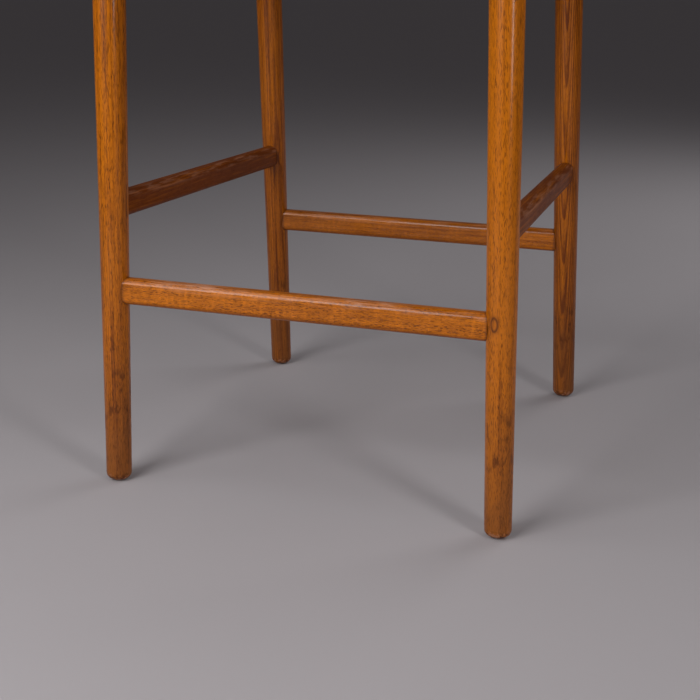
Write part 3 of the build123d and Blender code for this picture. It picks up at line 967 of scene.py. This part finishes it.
class STOOL_OT_legs(bpy.types.Operator):
    """Stains and lacquers the four turned legs"""

    bl_idname = "stool.legs"
    bl_label = "Legs"

    figures = {
        "front_left": Figure((0.09, -0.02), (0.004, 0.010), 0.26, 0.95, 0.0, 0.55, 0.07),
        "front_right": Figure((-0.05, 0.11), (-0.006, 0.003), 0.24, 0.85, 0.0, 0.45, -0.18, 0.85),
        # The rear legs are made darker, as painted shade.
        "rear_left": Figure((0.05, -0.06), (0.012, -0.006), 0.40, 0.60, 0.0, 0.50, 0.34),
        "rear_right": Figure((0.000, -0.034), (0.002, 0.030), 0.62, 0.60, 0.0, 0.40, 0.30),
    }

    def execute(self, context):
        wood = context.scene.stool_wood
        for name, bar in legs.items():
            joints = self.joints(name, bar)
            knot = self.knot(bar) if name == "front_right" else None
            material = leg_wood(f"{name} leg wood", wood, bar, self.figures[name], joints, knot)
            dress(f"{name}_leg", material)
        return {"FINISHED"}

    def joints(self, name, bar):
        """Where bars meet a leg: the place, the bar's direction seen from the leg, its half sizes."""
        made = []
        for node, (first, second, _) in {**STRETCHERS, **RAILS}.items():
            if name not in (first, second):
                continue
            member = {**stretchers, **rails}[node]
            along = (member.end - member.start).normalized()
            if name == second:
                along = -along
            low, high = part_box(node)
            place = at_height(bar, (low.z + high.z) / 2)
            side = Vector((0, 0, 1)).cross(along)
            made.append((place, turned_to(along, side), *half_size(node, member)))
        return made

    def knot(self, bar):
        """A small knot beside the footrest's end: its middle and its half sizes."""
        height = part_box(FOOTREST)[1].z - 8 * MM
        towards = Vector((-0.30, -0.95, 0)).normalized() * leg_radius(height)
        return at_height(bar, height) + towards, (4.2 * MM, 4.2 * MM, 8.0 * MM)


def finish_bars(wood, bars, rows, figures, scuffs=0.0, dull=0.0):
    """Gives some bars their wood. Scuffs are for the footrest, dullness is for the side bars."""
    for name, bar in bars.items():
        low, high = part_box(name)
        height = (low.z + high.z) / 2
        posts = [(at_height(legs[leg], height), leg_radius(height)) for leg in rows[name][:2]]
        marks = scuffs if name == FOOTREST else 0.0
        matt = dull if rows[name][2] else 0.0
        size = half_size(name, bar)
        dress(name, bar_wood(f"{name} wood", wood, bar, figures[name], posts, size, marks, matt))


class STOOL_OT_stretchers(bpy.types.Operator):
    """Stains and lacquers the footrest and the other stretchers"""

    bl_idname = "stool.stretchers"
    bl_label = "Stretchers"

    figures = {
        FOOTREST: Figure((0.12, 0.05), (0.004, 0.003), 0.12, 0.95, 0.40, 0.32, 0.07, 0.6),
        "rear_stretcher": Figure((0.10, -0.06), (0.003, 0.005), 0.16, 0.55, 0.24, 0.40, 0.22, 0.6),
        # The side stretchers are made much darker, as painted shade.
        "left_stretcher": Figure((0.07, 0.05), (0.006, 0.008), 0.30, 0.50, 0.12, 0.42, 0.84),
        "right_stretcher": Figure((-0.08, 0.03), (0.005, -0.008), 0.28, 0.50, 0.12, 0.40, 0.74),
    }

    def execute(self, context):
        finish_bars(context.scene.stool_wood, stretchers, STRETCHERS, self.figures, 0.62, 0.95)
        return {"FINISHED"}


class STOOL_OT_seat_rails(bpy.types.Operator):
    """Stains and lacquers the seat rails, and gives their dowels bare beech"""

    bl_idname = "stool.seat_rails"
    bl_label = "Seat Rails"

    figures = {
        "front_seat_rail": Figure((0.10, 0.02), (0.003, 0.006), 0.22, 0.75, 0.25, 0.40, 0.02),
        "rear_seat_rail": Figure((0.06, -0.05), (0.004, 0.009), 0.30, 0.65, 0.15, 0.42, 0.08),
        "left_seat_rail": Figure((0.09, 0.06), (0.006, 0.004), 0.26, 0.70, 0.20, 0.40, 0.06),
        "right_seat_rail": Figure((-0.08, 0.04), (0.004, -0.007), 0.28, 0.70, 0.15, 0.38, 0.06),
    }

    def execute(self, context):
        wood = context.scene.stool_wood
        finish_bars(wood, rails, RAILS, self.figures)
        figure = Figure((0.02, 0.01), (0.0, 0.0), 0.4, 0.5, 0.0, 0.3, 0.1)
        dress("rail_dowels", bare_wood("dowel beech", wood, rails["front_seat_rail"], figure))
        return {"FINISHED"}


class STOOL_OT_corner_blocks(bpy.types.Operator):
    """Gives the four corner blocks bare beech, with the grain along their long faces"""

    bl_idname = "stool.corner_blocks"
    bl_label = "Corner Blocks"

    def execute(self, context):
        wood = context.scene.stool_wood
        for k, name in enumerate(LEG_NAMES):
            node = f"{name}_corner_block"
            low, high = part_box(node)
            centre = (low + high) / 2
            # A block's long face stands square to the way out to its corner.
            along = Vector((-centre.y, centre.x, 0)).normalized()
            bar = Bar(centre, centre + along, turned_to(along, Vector((0, 0, 1))))
            figure = Figure((0.03 + 0.01 * k, 0.04 - 0.015 * k), (0.02, 0.01), 0.5, 0.7, 0, 0.4, 0)
            dress(node, bare_wood(f"{name} block beech", wood, bar, figure))
        return {"FINISHED"}


class STOOL_OT_fixings(bpy.types.Operator):
    """Gives the screws, bolts, washers, insert nuts and staples their metals"""

    bl_idname = "stool.fixings"
    bl_label = "Fixings"

    def execute(self, context):
        zinc = metal("zinc plate", (0.62, 0.62, 0.60), (0.40, 0.39, 0.36), 0.38, 0.35)
        steel = metal("blued steel", (0.30, 0.29, 0.28), (0.17, 0.16, 0.15), 0.42, 0.5)
        brass = metal("insert brass", (0.72, 0.52, 0.22), (0.50, 0.35, 0.13), 0.36, 0.3)
        wire = metal("staple wire", (0.66, 0.65, 0.62), (0.48, 0.46, 0.43), 0.34, 0.2)
        for node, material in (
            ("corner_block_screws", steel),
            ("seat_bolts", zinc),
            ("seat_bolt_washers", zinc),
            ("seat_insert_nuts", brass),
            ("underside_staples", wire),
        ):
            dress(node, material)
        return {"FINISHED"}


class STOOL_OT_glides(bpy.types.Operator):
    """Gives the four foot glides dark, scratched plastic"""

    bl_idname = "stool.glides"
    bl_label = "Foot Glides"

    def execute(self, context):
        dress("foot_glides", hard_plastic("glide plastic", (0.030, 0.026, 0.022), (0.11, 0.10, 0.09)))
        return {"FINISHED"}


class STOOL_OT_seat_board(bpy.types.Operator):
    """Gives the seat board its plies"""

    bl_idname = "stool.seat_board"
    bl_label = "Seat Board"

    def execute(self, context):
        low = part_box("seat_board")[0]
        dress("seat_board", plywood("birch plywood", context.scene.stool_wood, low.z, 1.5 * MM))
        return {"FINISHED"}


class STOOL_OT_padding(bpy.types.Operator):
    """Makes the crowned foam and the wadding over it"""

    bl_idname = "stool.padding"
    bl_label = "Foam and Wadding"

    def execute(self, context):
        seat = context.scene.stool_seat
        outline = outline_of("seat_cover", SEAT_CELLS // 2)
        cover_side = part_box("seat_cover")[1].x
        low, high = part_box("seat_foam")
        inset = cover_side - high.x + 2.2 * MM
        top = high.z - 2.0 * MM
        points, faces, floor = pad(outline, low.z, top, inset, 5 * MM, seat.crown * 0.6)
        more, grid = fill_ring(floor, 0, len(points), lambda u, v: 0.0)
        foam = new_piece("foam_pad", points + more, faces + [f[::-1] for f in grid])
        hand_over(foam, "seat_foam", foam_block("seat foam", seat))
        low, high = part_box("seat_wadding")
        inset = cover_side - high.x + 1.8 * MM
        top = high.z - 1.2 * MM
        points, faces, _ = pad(outline, low.z, top, inset, 7 * MM, seat.crown * 0.66)
        wadding = new_piece("wadding_layer", points, faces)
        thicken(wadding, 3.2 * MM)
        settle_modifiers(wadding)
        hand_over(wadding, "seat_wadding", fibre_fill("polyester wadding", seat))
        return {"FINISHED"}


class STOOL_OT_cover(bpy.types.Operator):
    """Makes the leather cover and the welt round its top"""

    bl_idname = "stool.cover"
    bl_label = "Leather Cover"

    def execute(self, context):
        seat = context.scene.stool_seat
        shape = CoverShape(seat)
        rings = shape.rings()
        points, faces = stack(rings)
        crest = len(points) - shape.count
        more, grid = fill_ring(rings[-1], crest, len(points), shape.rise)
        cover = new_piece("leather_cover", points + more, faces + grid)
        count = shape.count
        # The underside and the fold are held fast, and the seam a little less.
        firmness = {k: 1.0 for k in range(UNDERSIDE_STEPS + FOLD_STEPS)}
        firmness |= {shape.root_ring: 0.9, shape.root_ring + 1: 0.6}
        held = {k * count + i: firm for k, firm in firmness.items() for i in range(count)}
        plump(cover, seat, held)
        seam = [cover.data.vertices[shape.root_ring * count + i].co.copy() for i in range(count)]
        thicken(cover, seat.leather_thickness)
        smooth_out(cover)
        settle_modifiers(cover)
        rear_middle = shape.outline[2 * SEAT_CELLS + SEAT_CELLS // 2]
        top = shape.top + 1.5 * MM
        material = leather("black seat leather", seat, top, rear_middle)
        hand_over(cover, "seat_cover", material)
        self.add_welt(seat, shape, seam)
        return {"FINISHED"}

    def add_welt(self, seat, shape, seam):
        """The welt: leather over a cord, sewn into the seam."""
        flat = [Vector((p.x, p.y)) for p in seam]
        centres = []
        stand_off = (seat.welt_radius + 0.1 * MM) / math.sqrt(2)
        for i, p in enumerate(seam):
            out = -inward(flat, i)
            centres.append(p + Vector((out.x, out.y, 1.0)) * stand_off)
        centres = walk(centres + centres[:1], 2 * len(centres))

        def radius(i):
            return seat.welt_radius + noise.noise(Vector((i * 0.31, 0.0, 5.0))) * 0.14 * MM

        welt = tube("leather_piping", centres, radius, 12)
        smooth_out(welt)
        settle_modifiers(welt)
        material = leather("black piping leather", seat, shape.top + 1.0 * MM)
        hand_over(welt, "seat_piping", material)


class STOOL_OT_dust_cloth(bpy.types.Operator):
    """Makes the cloth stapled under the seat, with its edge turned in"""

    bl_idname = "stool.dust_cloth"
    bl_label = "Dust Cloth"

    cells = 48
    hem = 12 * MM
    cloth_thickness = 0.22 * MM
    bolt_clearance = 7 * MM

    def execute(self, context):
        seat = context.scene.stool_seat
        low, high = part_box("dust_cover")
        rings = self.rings(outline_of("dust_cover", self.cells), low.z, high.z)
        points, faces = stack(rings)

        def hang(u, v):
            ripple = noise.noise(Vector((u * 5.0, v * 5.0, 2.0))) * 0.25 * MM
            return -(seat.cloth_sag * dome(u, v, 6.0) * dome(u, v, 2.0) + abs(ripple) * dome(u, v))

        more, grid = fill_ring(rings[-1], len(points) - len(rings[-1]), len(points), hang)
        points += more
        cloth = new_piece("dust_cloth", points, self.clear_of_bolts(points, faces + grid))
        self.face_outwards(cloth)
        thicken(cloth, self.cloth_thickness)
        cloth.modifiers["Thickness"].offset = 0.0
        settle_modifiers(cloth)
        hand_over(cloth, "dust_cover", woven_cloth("black dust cloth", seat))
        return {"FINISHED"}

    def rings(self, outline, low, high):
        """The hem on top, the fold, and the lower face, which is drawn up at each staple."""
        fold = high - self.cloth_thickness / 2 - 0.02 * MM
        face = low + 0.16 * MM
        staples = [v.co for v in nodes["underside_staples"].data.vertices]
        marks = [Vector((p.x, p.y)) for p in staples if p.z < low]

        def slack(i):
            near = min((outline[i] - m).length for m in marks)
            return 0.16 * MM * min(1.0, max(0.0, (near - 6 * MM) / (10 * MM)))

        return [
            ring(outline, self.hem, fold),
            ring(outline, 1.2 * MM, fold),
            ring(outline, 0.25 * MM, (fold + face) / 2),
            ring(outline, 1.2 * MM, lambda i: face - slack(i)),
            ring(outline, 6 * MM, lambda i: face - slack(i) * 1.6),
            ring(outline, self.hem, lambda i: face - slack(i)),
        ]

    def clear_of_bolts(self, points, faces):
        """The faces, without those that would cover a bolt."""
        bolts = quarter_points("seat_bolts")
        kept = []
        for face in faces:
            centre = sum((points[k] for k in face), Vector()) / len(face)
            gaps = [math.hypot(centre.x - b.x, centre.y - b.y) for b in bolts]
            if min(gaps) > self.bolt_clearance:
                kept.append(face)
        return kept

    def face_outwards(self, piece):
        """Makes the faces agree, so that the thickness is added evenly."""
        shape = bmesh.new()
        shape.from_mesh(piece.data)
        bmesh.ops.recalc_face_normals(shape, faces=shape.faces)
        shape.to_mesh(piece.data)
        shape.free()
        piece.data.shade_smooth()


class STOOL_OT_studio(bpy.types.Operator):
    """Makes the floor, the lights and the camera"""

    bl_idname = "stool.studio"
    bl_label = "Studio"

    camera_place = Vector((0.4259, -1.3273, 0.5340))
    camera_yaw = -0.3241
    camera_pitch = -0.2957
    camera_roll = 0.0120
    sensor = 36.0
    floor_reach = 60.0

    def light(self, name, place, aim, size, power, glossy=True):
        """A rectangular lamp, which may be left out of reflections."""
        data = bpy.data.lights.new(name, "AREA")
        data.shape = "RECTANGLE"
        data.size, data.size_y = size
        data.energy = power
        lamp = bpy.data.objects.new(name, data)
        lamp.location = place
        lamp.rotation_euler = (Vector(aim) - Vector(place)).to_track_quat("-Z", "Y").to_euler()
        lamp.visible_camera = False
        lamp.visible_glossy = glossy
        bpy.context.scene.collection.objects.link(lamp)

    def execute(self, context):
        studio = context.scene.stool_studio
        r = self.floor_reach
        floor = new_piece("floor", [(-r, -r, 0), (r, -r, 0), (r, r, 0), (-r, r, 0)], [(0, 1, 2, 3)])
        paint(floor, floor_paper("pale floor", studio))
        middle_height = (0.0, 0.0, 0.35)
        self.light("key", (-0.55, -1.50, 0.95), middle_height, (0.8, 0.9), studio.key_power)
        self.light("fill", (1.30, -1.10, 0.95), middle_height, (0.3, 1.3), studio.fill_power)
        self.light("top", (-0.75, -0.75, 1.9), (0.0, 0.0, 0.3), (0.8, 0.8), studio.top_power)
        self.light("back", (1.3, 1.7, 1.5), (0.4, 0.8, 0.0), (1.4, 1.2), studio.back_power, False)
        self.add_surround(context.scene, studio)
        self.add_camera(context.scene, studio)
        return {"FINISHED"}

    def add_surround(self, scene, studio):
        """A dim surround. It is as dark as the far floor at the horizon, so they meet unseen."""
        recipe = Recipe("surround", "worlds", "Generated")
        height = recipe.part(recipe.place, 2)
        rise = recipe.node("ShaderNodeMapRange", {}, {"Value": height, "From Max": 0.6})
        horizon = [a * b for a, b in zip(studio.surround, studio.floor)]
        sockets = {
            "Color": recipe.mix(rise, horizon, studio.surround),
            "Strength": studio.surround_strength,
        }
        glow = recipe.node("ShaderNodeBackground", {}, sockets)
        recipe.node("ShaderNodeOutputWorld", {}, {"Surface": glow})
        scene.world = recipe.made
        scene.view_settings.view_transform = "Standard"

    def add_camera(self, scene, studio):
        data = bpy.data.cameras.new("camera")
        data.lens = studio.lens
        data.sensor_width = self.sensor
        camera = bpy.data.objects.new("camera", data)
        turned = Matrix.Rotation
        aim = turned(-self.camera_yaw, 4, "Z") @ turned(math.pi / 2 + self.camera_pitch, 4, "X")
        place = Matrix.Translation(self.camera_place)
        camera.matrix_world = place @ aim @ turned(self.camera_roll, 4, "Z")
        scene.collection.objects.link(camera)
        scene.camera = camera


# ---------------------------------------------------------------- panel and registration

STEPS = (
    STOOL_OT_legs,
    STOOL_OT_stretchers,
    STOOL_OT_seat_rails,
    STOOL_OT_corner_blocks,
    STOOL_OT_fixings,
    STOOL_OT_glides,
    STOOL_OT_seat_board,
    STOOL_OT_padding,
    STOOL_OT_cover,
    STOOL_OT_dust_cloth,
    STOOL_OT_studio,
)


class STOOL_PT_panel(bpy.types.Panel):
    """Lists the stool's pieces, in the order in which they are made"""

    bl_idname = "STOOL_PT_panel"
    bl_label = "Bar Stool"
    bl_space_type = "VIEW_3D"
    bl_region_type = "UI"
    bl_category = "Bar Stool"

    def draw(self, context):
        column = self.layout.column(align=True)
        for step in STEPS:
            column.operator(step.bl_idname)


SETTINGS = {"stool_wood": StoolWood, "stool_seat": StoolSeat, "stool_studio": StoolStudio}
CLASSES = (*SETTINGS.values(), *STEPS, STOOL_PT_panel)


def register():
    for made in CLASSES:
        bpy.utils.register_class(made)
    for name, group in SETTINGS.items():
        setattr(bpy.types.Scene, name, PointerProperty(type=group))


def unregister():
    for name in SETTINGS:
        delattr(bpy.types.Scene, name)
    for made in reversed(CLASSES):
        bpy.utils.unregister_class(made)


def main():
    register()
    for step in STEPS:
        family, name = step.bl_idname.split(".")
        getattr(getattr(bpy.ops, family), name)()


if __name__ == "__main__":
    main()
